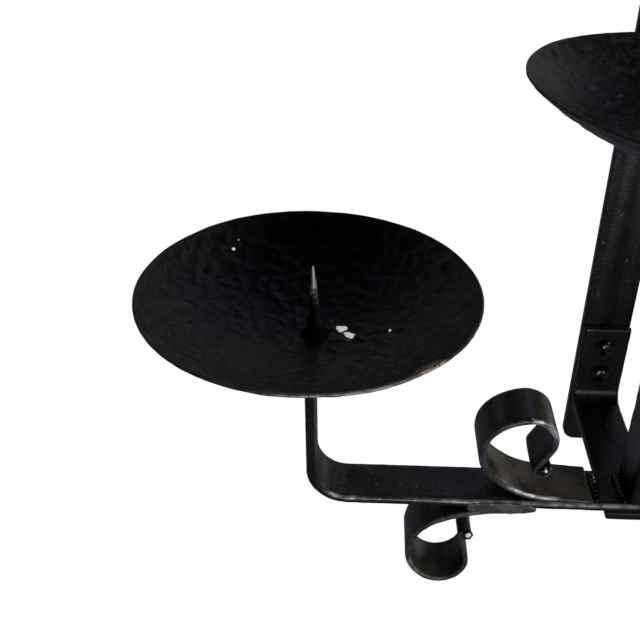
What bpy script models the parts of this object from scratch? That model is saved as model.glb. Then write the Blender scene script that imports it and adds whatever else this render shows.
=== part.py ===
"""Wall sconce for three candles, in black painted flat steel bar with dished pans.

One cross bar is bent up at both ends into the legs of the side pans. A post stands on its
middle and carries a third, higher pan. A bracket below it runs back to an upright bar that is
screwed to the wall. Scrolls of thinner strip are welded above and below the cross bar.

Metres, +Z up, +X to the right as seen from the room, +Y into the wall. The origin is the
middle of the wall bar's back face, which lies on the wall.
"""

import math

import bmesh
import bpy
from mathutils import Matrix, Vector

# Clearance left between pieces that touch or are welded together.
GAP = 0.0003

# Flat bar of the cross bar, the post, the bracket and the wall bar.
BAR_WIDTH = 0.022
BAR_THICKNESS = 0.004

# Layout: the wall is the plane Y = 0.
ARM_DEPTH = 0.075
SIDE_RIM_HEIGHT = 0.005
CENTRE_RIM_HEIGHT = 0.0817
LEG_SPACING = 0.1345
ARM_DROP = 0.098
BEND_RADIUS = 0.0155

# Pans: shallow caps of sheet, each with a hole for its spike.
PAN_RADIUS = 0.065
PAN_DEPTH = 0.0207
PAN_SHEET = 0.0015
PAN_RIM_LEAN = 0.58
PUNCH_RADIUS = 0.0008
PAN_STEPS = 44
PAN_RINGS = 8

# Each side spike stands a little inboard of its leg, and its pan was punched off centre.
# Leans are in degrees.
SIDE_SPIKE_INSET = 0.0017
SIDE_PAN_OFFSET = 0.0023
SIDE_PAN_LEAN = 0.9
CENTRE_PAN_LEAN = 4.0

# Spikes: a tenon through the pan, then a long taper that narrows in two stages.
SPIKE_RADIUS = 0.0020
SPIKE_TIP_HEIGHT = 0.0097
SPIKE_SHOULDER = (0.0018, 0.004)
SPIKE_NECK = (0.0011, 0.010)
SPIKE_TIP = (0.0005, 0.0008)
SPIKE_STEPS = 12

# Collar of weld round a spike: wall thickness and height, from top to foot.
SPIKE_COLLAR_TOP = 0.0026
SPIKE_COLLAR_SWELL = (0.0005, 0.0017)
SPIKE_COLLAR_FOOT = (0.0012, 0.0001)
SPIKE_COLLAR_STEPS = 16

# Wall bar and bracket.
WALL_BAR_LENGTH = 0.250
WALL_BAR_CORNER = 0.006
SCREW_HOLE_RADIUS = 0.00275
SCREW_HOLE_INSET = 0.012
BRACKET_TAIL_TOP = -0.055
BRACKET_BEND_RADIUS = 0.008
RIVET_RADIUS = 0.0025
RIVET_HEAD_RADIUS = 0.0045
RIVET_HEAD_HEIGHT = 0.0025
RIVET_STEPS = 12
RIVET_HEIGHTS = (-0.080, -0.065)

# Scrolls: strip as wide as the bar, thinning towards the rolled tip.
SCROLL_THICKNESS = 0.0030
SCARF = 0.0016
UPPER_SCROLL = {
    "start": 0.0336,
    "foot": 0.0168,
    "arcs": ((0.0358, 50.3), (0.0167, 97.9), (0.0229, 22.6), (0.0106, 126.7)),
    "neck": 0.0098,
    "roll": (0.0028, 250.0),
    "tip": 0.0028,
}
LOWER_SCROLL = {
    "start": 0.0498,
    "foot": 0.0080,
    "arcs": ((0.0681, 26.3), (0.0221, 73.5), (0.0172, 40.0), (0.0118, 143.4)),
    "neck": 0.0134,
    "roll": (0.0020, 250.0),
    "tip": 0.0024,
}

# Weld beads across the bar, as (length, width, height).
POST_BEAD = (0.019, 0.0032, 0.0024)
BRACKET_BEAD = (0.017, 0.0032, 0.0022)
PAN_BEAD = (0.018, 0.0030, 0.0018)
UPPER_SCROLL_BEAD = (0.018, 0.0032, 0.0020)

# The bead along the seam at the bar's front edge, and how far outboard of the scroll's toe it is.
LOWER_SCROLL_BEAD = (0.022, 0.0050, 0.0012)
LOWER_SCROLL_BEAD_SHIFT = 0.0117

# How finely round shapes are divided, the length of a hole cutter, and when vertices are one.
ARC_STEP = math.radians(11)
CIRCLE_POINTS = 16
CORNER_POINTS = 5
BEAD_SEGMENTS = 10
BEAD_RINGS = 8
DOME_STEPS = 3
CUTTER_LENGTH = 0.02
MERGE_DISTANCE = 0.00001

# Heights worked out from the layout.
ARM_HEIGHT = SIDE_RIM_HEIGHT - ARM_DROP
ARM_TOP = ARM_HEIGHT + BAR_THICKNESS / 2
ARM_BOTTOM = ARM_HEIGHT - BAR_THICKNESS / 2
PAN_UNDERSIDE = PAN_DEPTH + PAN_SHEET

# Quarter turns about each axis.
QUARTER_X = Matrix.Rotation(math.radians(90), 4, "X")
QUARTER_Z = Matrix.Rotation(math.radians(90), 4, "Z")

# Turns that stand an outline up: in the plane of the wall, or at right angles to it.
FACING = QUARTER_X
SIDEWAYS = QUARTER_Z @ FACING

SIDES = (("left", -1), ("right", 1))


# ---------------------------------------------------------------- scene and materials

def clear_scene():
    for piece in list(bpy.data.objects):
        bpy.data.objects.remove(piece, do_unlink=True)


def new_collection(name):
    collection = bpy.data.collections.new(name)
    bpy.context.scene.collection.children.link(collection)
    return collection


def finish_for(name, colour, roughness, metallic):
    material = bpy.data.materials.new(name + "_finish")
    material.use_nodes = True
    shader = material.node_tree.nodes["Principled BSDF"]
    shader.inputs["Base Color"].default_value = (*colour, 1.0)
    shader.inputs["Roughness"].default_value = roughness
    shader.inputs["Metallic"].default_value = metallic
    return material


def bar_paint(name):
    return finish_for(name, (0.030, 0.028, 0.027), 0.38, 0.3)


def pan_paint(name):
    return finish_for(name, (0.020, 0.018, 0.017), 0.45, 0.3)


def weld_paint(name):
    return finish_for(name, (0.035, 0.033, 0.032), 0.30, 0.3)


def spike_steel(name):
    return finish_for(name, (0.24, 0.21, 0.19), 0.45, 0.8)


def add_piece(name, data, material, place=Matrix.Identity(4)):
    """A new object in the parts collection, under the sconce's own origin."""
    piece = bpy.data.objects.new(name, data)
    data.materials.append(material)
    parts.objects.link(piece)
    piece.parent = origin
    piece.matrix_world = place
    return piece


# ---------------------------------------------------------------- outlines

def trace(start, heading, steps):
    """Stations (x, y, heading, distance) along straights (length,) and arcs (radius, turn)."""
    x, y = start
    angle = math.radians(heading)
    distance = 0.0
    stations = [(x, y, angle, distance)]
    for step in steps:
        if len(step) == 1:
            x += step[0] * math.cos(angle)
            y += step[0] * math.sin(angle)
            distance += step[0]
            stations.append((x, y, angle, distance))
            continue
        radius, turn = step[0], math.radians(step[1])
        side = math.copysign(radius, turn)
        centre_x = x - side * math.sin(angle)
        centre_y = y + side * math.cos(angle)
        count = max(2, round(abs(turn) / ARC_STEP))
        for i in range(1, count + 1):
            bearing = angle + turn * i / count
            x = centre_x + side * math.sin(bearing)
            y = centre_y - side * math.cos(bearing)
            stations.append((x, y, bearing, distance + radius * abs(turn) * i / count))
        angle += turn
        distance += radius * abs(turn)
    return stations


def strip(stations, left, right):
    """Closed outline of a strip whose faces lie left(s) and right(s) off the traced line."""
    sides = []
    for sign, offset in ((1, left), (-1, right)):
        sides.append([
            (x - sign * offset(s) * math.sin(a), y + sign * offset(s) * math.cos(a))
            for x, y, a, s in stations
        ])
    return sides[0] + sides[1][::-1]


def bar_outline(start, heading, steps):
    half = BAR_THICKNESS / 2
    return strip(trace(start, heading, steps), lambda s: half, lambda s: half)


def circle(centre, radius):
    return [
        (centre[0] + radius * math.cos(2 * math.pi * i / CIRCLE_POINTS),
         centre[1] + radius * math.sin(2 * math.pi * i / CIRCLE_POINTS))
        for i in range(CIRCLE_POINTS)
    ]


def rounded_rectangle(width, height, corner):
    outline = []
    for quarter in range(4):
        sign_x = 1 if quarter in (0, 3) else -1
        sign_y = 1 if quarter in (0, 1) else -1
        for i in range(CORNER_POINTS):
            angle = math.radians(90 * (quarter + i / (CORNER_POINTS - 1)))
            outline.append((
                sign_x * (width / 2 - corner) + corner * math.cos(angle),
                sign_y * (height / 2 - corner) + corner * math.sin(angle),
            ))
    return outline


def flat_piece(name, outlines, thickness, material, place):
    """A plate: the first outline filled, the others left open, extruded both ways."""
    curve = bpy.data.curves.new(name, "CURVE")
    curve.dimensions = "2D"
    curve.fill_mode = "BOTH"
    curve.extrude = thickness / 2
    for outline in outlines:
        spline = curve.splines.new("POLY")
        spline.points.add(len(outline) - 1)
        for point, (x, y) in zip(spline.points, outline):
            point.co = (x, y, 0.0, 1.0)
        spline.use_cyclic_u = True
    piece = add_piece(name, curve, material, place)
    weld = piece.modifiers.new("weld", "WELD")
    weld.merge_threshold = MERGE_DISTANCE
    return piece


# ---------------------------------------------------------------- turned pieces and beads

def turned_piece(name, profile, steps, material, place, closed=False):
    """A profile of (radius, height), outer side running down, turned about its own Z."""
    mesh = bpy.data.meshes.new(name)
    edges = [(i, i + 1) for i in range(len(profile) - 1)]
    if closed:
        edges.append((len(profile) - 1, 0))
    mesh.from_pydata([(radius, 0.0, height) for radius, height in profile], edges, [])
    piece = add_piece(name, mesh, material, place)
    screw = piece.modifiers.new("turn", "SCREW")
    screw.axis = "Z"
    screw.steps = steps
    screw.render_steps = steps
    screw.use_merge_vertices = True
    screw.merge_threshold = MERGE_DISTANCE
    screw.use_smooth_shade = True
    return piece


def bead(name, size, place):
    """A weld bead: half an ellipsoid, flat side down, long axis along its own Y."""
    length, width, height = size
    shape = bmesh.new()
    bmesh.ops.create_uvsphere(shape, u_segments=BEAD_SEGMENTS, v_segments=BEAD_RINGS, radius=1.0)
    bmesh.ops.rotate(shape, verts=shape.verts, matrix=QUARTER_X.to_3x3())
    bmesh.ops.scale(shape, verts=shape.verts, vec=(width / 2, length / 2, height))
    cut = bmesh.ops.bisect_plane(
        shape, geom=shape.verts[:] + shape.edges[:] + shape.faces[:], dist=MERGE_DISTANCE / 100,
        plane_co=(0, 0, 0), plane_no=(0, 0, -1), clear_outer=True)
    rim = [item for item in cut["geom_cut"] if isinstance(item, bmesh.types.BMEdge)]
    bmesh.ops.contextual_create(shape, geom=rim)
    bmesh.ops.recalc_face_normals(shape, faces=shape.faces)
    mesh = bpy.data.meshes.new(name)
    shape.to_mesh(mesh)
    shape.free()
    mesh.shade_smooth()
    mesh.set_sharp_from_angle(angle=math.radians(50))
    return add_piece(name, mesh, weld_paint(name), place)


def bore(piece, radius, centre, rotation=(0, 0, 0)):
    """A round hole through a piece, upright unless turned, cut by a cylinder that isn't a part."""
    bpy.ops.mesh.primitive_cylinder_add(
        vertices=CIRCLE_POINTS, radius=radius, depth=CUTTER_LENGTH, location=centre, rotation=rotation)
    cutter = bpy.context.object
    cutter.name = piece.name + "_cutter"
    for collection in list(cutter.users_collection):
        collection.objects.unlink(cutter)
    cutters.objects.link(cutter)
    cutter.hide_render = True
    cutter.display_type = "WIRE"
    hole = piece.modifiers.new("hole", "BOOLEAN")
    hole.operation = "DIFFERENCE"
    hole.solver = "EXACT"
    hole.object = cutter


# ---------------------------------------------------------------- the pieces

def make_cross_arm():
    leg = ARM_DROP - PAN_UNDERSIDE - GAP - BEND_RADIUS
    span = 2 * (LEG_SPACING - BEND_RADIUS)
    top = SIDE_RIM_HEIGHT - PAN_UNDERSIDE - GAP
    steps = ((leg,), (BEND_RADIUS, 90), (span,), (BEND_RADIUS, 90), (leg,))
    outline = bar_outline((-LEG_SPACING, top), -90, steps)
    place = Matrix.Translation((0, -ARM_DEPTH, 0)) @ FACING
    flat_piece("cross_arm", [outline], BAR_WIDTH, bar_paint("cross_arm"), place)


def make_centre_post():
    """The post stands on the cross bar, edge on to the room as the legs are."""
    bottom = ARM_TOP + GAP
    height = CENTRE_RIM_HEIGHT - PAN_UNDERSIDE - GAP - bottom
    outline = bar_outline((0, bottom), 90, ((height,),))
    place = Matrix.Translation((0, -ARM_DEPTH, 0)) @ FACING
    flat_piece("centre_post", [outline], BAR_WIDTH, bar_paint("centre_post"), place)
    for side, sign in SIDES:
        foot_x = sign * (BAR_THICKNESS / 2 + GAP + POST_BEAD[1] / 2)
        foot = Matrix.Translation((foot_x, -ARM_DEPTH, ARM_TOP + GAP))
        bead(f"{side}_post_weld", POST_BEAD, foot)


def make_wall_bar():
    outline = rounded_rectangle(BAR_WIDTH, WALL_BAR_LENGTH, WALL_BAR_CORNER)
    reach = WALL_BAR_LENGTH / 2 - SCREW_HOLE_INSET
    screw_holes = [circle((0, height), SCREW_HOLE_RADIUS) for height in (-reach, reach)]
    place = Matrix.Translation((0, -BAR_THICKNESS / 2, 0)) @ FACING
    rivet_holes = [circle((0, height), RIVET_RADIUS + GAP) for height in RIVET_HEIGHTS]
    outlines = [outline] + screw_holes + rivet_holes
    flat_piece("wall_bar", outlines, BAR_THICKNESS, bar_paint("wall_bar"), place)


def make_wall_bracket():
    """From under the cross bar back towards the wall, then up against the wall bar."""
    level = ARM_BOTTOM - GAP - BAR_THICKNESS / 2
    tail_y = -(BAR_THICKNESS * 1.5 + GAP)
    front = -ARM_DEPTH - BAR_WIDTH / 2
    run = tail_y - BRACKET_BEND_RADIUS - front
    rise = BRACKET_TAIL_TOP - level - BRACKET_BEND_RADIUS
    steps = ((run,), (BRACKET_BEND_RADIUS, 90), (rise,))
    outline = bar_outline((front, level), 0, steps)
    bracket = flat_piece("wall_bracket", [outline], BAR_WIDTH, bar_paint("wall_bracket"), SIDEWAYS)
    solid = as_mesh(bracket)
    for height in RIVET_HEIGHTS:
        bore(solid, RIVET_RADIUS + GAP, (0, tail_y, height), FACING.to_euler())
    for side, sign in SIDES:
        seam_x = sign * (BAR_WIDTH / 2 + GAP + BRACKET_BEAD[1] / 2)
        seam = Matrix.Translation((seam_x, -ARM_DEPTH, ARM_BOTTOM - GAP))
        bead(f"{side}_bracket_weld", BRACKET_BEAD, seam @ Matrix.Rotation(math.pi, 4, "Y"))


def as_mesh(piece):
    """The same piece as a mesh of its own, so that it can be cut."""
    name, place = piece.name, piece.matrix_world.copy()
    bpy.context.view_layer.update()
    evaluated = piece.evaluated_get(bpy.context.evaluated_depsgraph_get())
    mesh = bpy.data.meshes.new_from_object(evaluated)
    shape = bmesh.new()
    shape.from_mesh(mesh)
    bmesh.ops.remove_doubles(shape, verts=shape.verts, dist=MERGE_DISTANCE)
    shape.to_mesh(mesh)
    shape.free()
    bpy.data.objects.remove(piece)
    solid = bpy.data.objects.new(name, mesh)
    parts.objects.link(solid)
    solid.parent = origin
    solid.matrix_world = place
    return solid


def make_rivets():
    """Two rivets, heads towards the room, through the bracket's tail and the wall bar."""
    seat = 2 * BAR_THICKNESS + 2 * GAP
    crown = seat + RIVET_HEAD_HEIGHT
    dome = [
        (RIVET_HEAD_RADIUS * math.sin(angle), seat + RIVET_HEAD_HEIGHT * math.cos(angle))
        for angle in (math.radians(90 * i / DOME_STEPS) for i in range(1, DOME_STEPS + 1))
    ]
    profile = [(0, crown)] + dome + [(RIVET_RADIUS, seat), (RIVET_RADIUS, GAP), (0, GAP)]
    for name, height in zip(("lower_rivet", "upper_rivet"), RIVET_HEIGHTS):
        place = Matrix.Translation((0, 0, height)) @ FACING
        turned_piece(name, profile, RIVET_STEPS, bar_paint(name), place)


def make_pan(side, axis, offset, lean):
    """A pan on its spike's upright axis, from the middle of its hollow, leaning about that point."""
    lip = PAN_RADIUS - PAN_SHEET * PAN_RIM_LEAN
    sphere = (lip ** 2 + PAN_DEPTH ** 2) / (2 * PAN_DEPTH)
    outer_angle = math.asin(lip / sphere)
    inner_angle = math.asin(PUNCH_RADIUS / sphere)
    profile = []
    for ring in range(PAN_RINGS + 1):
        angle = outer_angle + (inner_angle - outer_angle) * ring / PAN_RINGS
        profile.append((sphere * math.sin(angle), sphere * (1 - math.cos(angle))))
    tilt = Matrix.Rotation(math.radians(lean), 4, "Y")
    place = Matrix.Translation(axis) @ tilt @ Matrix.Translation((offset, 0, 0))
    pan = turned_piece(f"{side}_pan", profile, PAN_STEPS, pan_paint(f"{side}_pan"), place)
    sheet = pan.modifiers.new("sheet", "SOLIDIFY")
    sheet.thickness = PAN_SHEET
    sheet.offset = 1.0
    bore(pan, SPIKE_RADIUS + GAP, axis)


def make_spike(side, axis):
    """A spike standing through its pan, and the weld round its root."""
    tip = SPIKE_TIP_HEIGHT + PAN_DEPTH
    foot = -(PAN_SHEET + GAP / 2)
    taper = [
        (0, tip), (SPIKE_TIP[0], tip - SPIKE_TIP[1]), (SPIKE_NECK[0], tip - SPIKE_NECK[1]),
        SPIKE_SHOULDER, (SPIKE_RADIUS, 0), (SPIKE_RADIUS, foot), (0, foot),
    ]
    turned_piece(f"{side}_spike", taper, SPIKE_STEPS, spike_steel(f"{side}_spike"), Matrix.Translation(axis))

    inner = SPIKE_RADIUS + GAP
    swell, swell_height = SPIKE_COLLAR_SWELL
    foot_width, foot_rise = SPIKE_COLLAR_FOOT
    base = GAP + foot_rise
    collar = [
        (inner, SPIKE_COLLAR_TOP), (inner + swell, swell_height), (inner + foot_width, base), (inner, base),
    ]
    turned_piece(f"{side}_spike_weld", collar, SPIKE_COLLAR_STEPS, weld_paint(f"{side}_spike_weld"),
                 Matrix.Translation(axis), closed=True)


def make_pan_welds(side, stem_x, hollow):
    """The two beads that hold the pan's underside to the end of the bar below it."""
    height = hollow.z - PAN_SHEET - 2 * GAP - PAN_BEAD[1] / 2
    for edge, sign in (("outer", -1), ("inner", 1)):
        face_x = stem_x + sign * (BAR_THICKNESS / 2 + GAP)
        turn = Matrix.Rotation(sign * math.radians(90), 4, "Y")
        bead(f"{side}_pan_{edge}_weld", PAN_BEAD, Matrix.Translation((face_x, hollow.y, height)) @ turn)


def scroll_outline(scroll, side, upright):
    """A scroll in the plane of the cross bar: foot, main curl, neck and rolled tip."""
    steps = [(scroll["foot"],)]
    steps += [(radius, -turn) for radius, turn in scroll["arcs"]]
    steps += [(scroll["neck"],), scroll["roll"]]
    stations = trace((-(scroll["start"] - scroll["foot"]), SCROLL_THICKNESS / 2 + GAP), 180, steps)
    length = stations[-1][3]

    def half(s):
        return (SCROLL_THICKNESS + (scroll["tip"] - SCROLL_THICKNESS) * s / length) / 2

    def scarfed(s):
        return half(s) - SCARF * max(0.0, 1 - s / scroll["foot"])

    outline = strip(stations, half, scarfed)
    return [(-side * x, upright * y) for x, y in outline]


def make_scrolls():
    for side, sign in SIDES:
        for name, scroll, upright, face in (
            ("upper", UPPER_SCROLL, 1, ARM_TOP),
            ("lower", LOWER_SCROLL, -1, ARM_BOTTOM),
        ):
            piece = f"{side}_{name}_scroll"
            outline = scroll_outline(scroll, sign, upright)
            place = Matrix.Translation((0, -ARM_DEPTH, face)) @ FACING
            flat_piece(piece, [outline], BAR_WIDTH, bar_paint(piece), place)
        toe = UPPER_SCROLL["start"] - UPPER_SCROLL["foot"] - GAP - UPPER_SCROLL_BEAD[1] / 2
        place = Matrix.Translation((sign * toe, -ARM_DEPTH, ARM_TOP + GAP))
        bead(f"{side}_upper_scroll_weld", UPPER_SCROLL_BEAD, place)
        seam_x = LOWER_SCROLL["start"] - LOWER_SCROLL["foot"] + LOWER_SCROLL_BEAD_SHIFT
        seam = (sign * seam_x, -ARM_DEPTH - BAR_WIDTH / 2 - GAP, ARM_BOTTOM)
        bead(f"{side}_lower_scroll_weld", LOWER_SCROLL_BEAD, Matrix.Translation(seam) @ FACING @ QUARTER_Z)


clear_scene()
parts = new_collection("wall_sconce")
cutters = new_collection("cutters")
origin = bpy.data.objects.new("sconce_origin", None)
parts.objects.link(origin)

make_wall_bar()
make_wall_bracket()
make_rivets()
make_cross_arm()
make_centre_post()
make_scrolls()
for pan_side, stem_sign, rim_height, pan_lean in (
    ("left", -1, SIDE_RIM_HEIGHT, SIDE_PAN_LEAN),
    ("centre", 0, CENTRE_RIM_HEIGHT, CENTRE_PAN_LEAN),
    ("right", 1, SIDE_RIM_HEIGHT, -SIDE_PAN_LEAN),
):
    spike_x = stem_sign * (LEG_SPACING - SIDE_SPIKE_INSET)
    pan_hollow = Vector((spike_x, -ARM_DEPTH, rim_height - PAN_DEPTH))
    make_pan(pan_side, pan_hollow, stem_sign * SIDE_PAN_OFFSET, pan_lean)
    make_spike(pan_side, pan_hollow)
    make_pan_welds(pan_side, stem_sign * LEG_SPACING, pan_hollow)
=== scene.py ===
import math

import bmesh
import bpy
import numpy as np
from mathutils import Matrix, Vector, noise


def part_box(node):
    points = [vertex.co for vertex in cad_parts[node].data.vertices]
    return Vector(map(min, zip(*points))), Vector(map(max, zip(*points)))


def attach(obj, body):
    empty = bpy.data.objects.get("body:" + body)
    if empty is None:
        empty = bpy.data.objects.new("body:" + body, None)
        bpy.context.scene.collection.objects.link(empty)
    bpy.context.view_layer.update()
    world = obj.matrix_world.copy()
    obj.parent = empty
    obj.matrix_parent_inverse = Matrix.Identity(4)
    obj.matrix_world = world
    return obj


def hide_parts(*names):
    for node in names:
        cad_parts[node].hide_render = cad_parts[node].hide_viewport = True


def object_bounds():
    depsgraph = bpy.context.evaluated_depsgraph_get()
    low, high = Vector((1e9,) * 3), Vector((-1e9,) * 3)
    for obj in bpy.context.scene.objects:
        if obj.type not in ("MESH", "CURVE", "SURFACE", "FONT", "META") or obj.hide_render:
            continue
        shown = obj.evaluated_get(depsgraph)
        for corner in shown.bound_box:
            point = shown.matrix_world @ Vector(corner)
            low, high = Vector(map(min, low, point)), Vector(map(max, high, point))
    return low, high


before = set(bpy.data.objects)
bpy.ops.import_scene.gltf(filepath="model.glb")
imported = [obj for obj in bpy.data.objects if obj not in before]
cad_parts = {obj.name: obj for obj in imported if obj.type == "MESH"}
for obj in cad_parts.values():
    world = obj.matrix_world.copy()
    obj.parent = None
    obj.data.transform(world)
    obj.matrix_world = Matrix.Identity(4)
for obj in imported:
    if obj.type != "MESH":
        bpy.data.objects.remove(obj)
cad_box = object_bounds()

MM = 0.001

# Design sizes, as the CAD model has them, in metres. An arc or a roll is (radius in mm, degrees).
BAR_WIDTH = 22 * MM
BAR_THICKNESS = 4 * MM
BEND_RADIUS = 15.5 * MM
BRACKET_BEND_RADIUS = 8 * MM
PAN_RADIUS = 65 * MM
PAN_DEPTH = 20.7 * MM
PAN_SHEET = 1.5 * MM
PAN_FOOT_GAP = 0.15 * MM
PAN_LEAN = {"left": 0.9, "centre": 4.0, "right": -0.9}
PAN_OFFSET = {"left": -2.3 * MM, "centre": 0.0, "right": 2.3 * MM}
SCROLL_THICKNESS = 3 * MM
SCARF = 1.6 * MM
# A scroll's last four lines are looks: how far its roll bulges, how bright its edges are rubbed and
# lit by painted highlights, where its crown starts, and the drop that closes its roll: radius,
# shift, the side of its painted highlight and where that highlight begins.
UPPER_SCROLL = {
    "foot": 16.8 * MM,
    "arcs": ((35.8, 50.3), (16.7, 97.9), (22.9, 22.6), (10.6, 126.7)),
    "neck": 9.8 * MM,
    "roll": (2.8, 250.0),
    "tip": 2.8 * MM,
    "belly": -0.8 * MM,
    "rub_and_highlight": 1.0,
    "crown": 0.66,
    "plug": (2.5 * MM, (0.0, 0.0), (0.35, -0.75, 0.55), 0.93),
}
LOWER_SCROLL = {
    "foot": 8.0 * MM,
    "arcs": ((68.1, 26.3), (22.1, 73.5), (17.2, 40.0), (11.8, 143.4)),
    "neck": 13.4 * MM,
    "roll": (2.0, 250.0),
    "tip": 2.4 * MM,
    "belly": -0.3 * MM,
    "rub_and_highlight": 0.35,
    "crown": 0.50,
    "plug": (2.5 * MM, (0.7 * MM, 1.1 * MM), (0.15, -0.90, 0.40), 0.86),
}
PLUG_DEPTH = 0.6 * MM
BURR_DEPTH = 0.5 * MM
BURR_SIZE = 1.0 * MM


def middle(node):
    low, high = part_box(node)
    return (low + high) / 2


ARM_Y = middle("cross_arm").y


# ---------------------------------------------------------------- materials

class Shader:
    """A node tree with short calls for the nodes that the finishes use."""

    def __init__(self, name):
        self.material = bpy.data.materials.new(name)
        self.material.use_nodes = True
        self.tree = self.material.node_tree
        self.surface = self.tree.nodes["Principled BSDF"]
        coordinates = self.tree.nodes.new("ShaderNodeTexCoord")
        self.place = coordinates.outputs["Object"]

    def node(self, kind, inputs, **settings):
        node = self.tree.nodes.new(kind)
        for key, value in settings.items():
            setattr(node, key, value)
        for key, value in inputs.items():
            if isinstance(value, bpy.types.NodeSocket):
                self.tree.links.new(value, node.inputs[key])
            else:
                node.inputs[key].default_value = value
        return node

    def noise(self, scale, detail=3.0, roughness=0.55, stretch=None):
        place = self.place
        if stretch is not None:
            mapping = self.node("ShaderNodeMapping", {"Vector": place, "Scale": stretch})
            place = mapping.outputs["Vector"]
        inputs = {"Vector": place, "Scale": scale, "Detail": detail, "Roughness": roughness}
        return self.node("ShaderNodeTexNoise", inputs).outputs["Fac"]

    def streaks(self, along, across):
        """Noise drawn out along the strip or across it, from its own flattened-out coordinates."""
        inputs = {
            "X": self.times(self.attribute("along"), float(along)),
            "Y": self.times(self.attribute("across"), float(across)),
        }
        place = self.node("ShaderNodeCombineXYZ", inputs).outputs["Vector"]
        inputs = {"Vector": place, "Scale": 1.0, "Detail": 3.0}
        return self.node("ShaderNodeTexNoise", inputs).outputs["Fac"]

    def cells(self, scale, warp, reach):
        """Distance from the nearest of many scattered points, in a space bent by the warp."""
        push = self.times(warp, reach)
        bent = self.node("ShaderNodeVectorMath", {0: self.place, 1: push}, operation="ADD")
        inputs = {"Vector": bent.outputs["Vector"], "Scale": scale}
        return self.node("ShaderNodeTexVoronoi", inputs, feature="SMOOTH_F1").outputs["Distance"]

    def mask(self, value, low, high):
        """0 below low, 1 above high, smooth between them; low above high turns it round."""
        inputs = {"Value": value, "From Min": low, "From Max": high}
        node = self.node("ShaderNodeMapRange", inputs, interpolation_type="SMOOTHSTEP")
        return node.outputs["Result"]

    def level(self, value, low, high):
        """A value from 0 to 1 spread over low to high."""
        node = self.node("ShaderNodeMapRange", {"Value": value, "To Min": low, "To Max": high})
        return node.outputs["Result"]

    def math(self, operation, a, b):
        return self.node("ShaderNodeMath", {0: a, 1: b}, operation=operation).outputs[0]

    def times(self, a, b):
        return self.math("MULTIPLY", a, b)

    def blend(self, factor, a, b):
        """Colour a where the factor is 0 and colour b where it is 1."""
        node = self.tree.nodes.new("ShaderNodeMix")
        node.data_type = "RGBA"
        socket_of = {"factor": 0, "a": 6, "b": 7}
        self.tree.links.new(factor, node.inputs[socket_of["factor"]])
        for key, value in (("a", a), ("b", b)):
            socket = node.inputs[socket_of[key]]
            if isinstance(value, bpy.types.NodeSocket):
                self.tree.links.new(value, socket)
            else:
                socket.default_value = (*value, 1.0)
        return node.outputs[2]

    def attribute(self, name):
        return self.node("ShaderNodeAttribute", {}, attribute_name=name).outputs["Fac"]

    def bump(self, height, distance, strength=1.0, base=None):
        inputs = {"Height": height, "Distance": distance, "Strength": strength}
        if base is not None:
            inputs["Normal"] = base
        return self.node("ShaderNodeBump", inputs).outputs["Normal"]

    def set(self, **values):
        for key, value in values.items():
            socket = self.surface.inputs[key.replace("_", " ")]
            if isinstance(value, bpy.types.NodeSocket):
                self.tree.links.new(value, socket)
            else:
                socket.default_value = value


# Linear colours of paint, dirt and metal; some of the steels are also laid on as painted highlights.
BLACK = (0.0012, 0.0012, 0.0016)
SOOT = (0.0042, 0.0040, 0.0044)
WORN_BROWN = (0.062, 0.055, 0.046)
DUST = (0.050, 0.045, 0.038)
PALE_DUST = (0.16, 0.14, 0.12)
RUST = (0.090, 0.034, 0.014)
RUBBED_BROWN = (0.048, 0.031, 0.018)
TAN = (0.62, 0.42, 0.26)
CHIPPED_STEEL = (0.42, 0.40, 0.38)
RUBBED_HIGHLIGHT_STEEL = (0.50, 0.51, 0.54)
RIM_HIGHLIGHT_STEEL = (0.26, 0.27, 0.29)
HIGHLIGHT_STEEL = (0.90, 0.91, 0.93)
SPIKE_STEEL = (0.62, 0.58, 0.54)
SPIKE_BLOTCH = (0.085, 0.090, 0.105)
SPIKE_RUST = (0.055, 0.032, 0.022)
SCORCH = (0.0010, 0.0009, 0.0011)
SCORCHED_RUST = (0.009, 0.005, 0.003)
WAX_SHADE = (0.95, 0.945, 0.92)
WAX_WHITE = (1.0, 0.995, 0.98)
WAX_GLOW = 0.40
PAINT_SPECULAR = 0.36
SCORCHED_SPECULAR = 0.12


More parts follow.
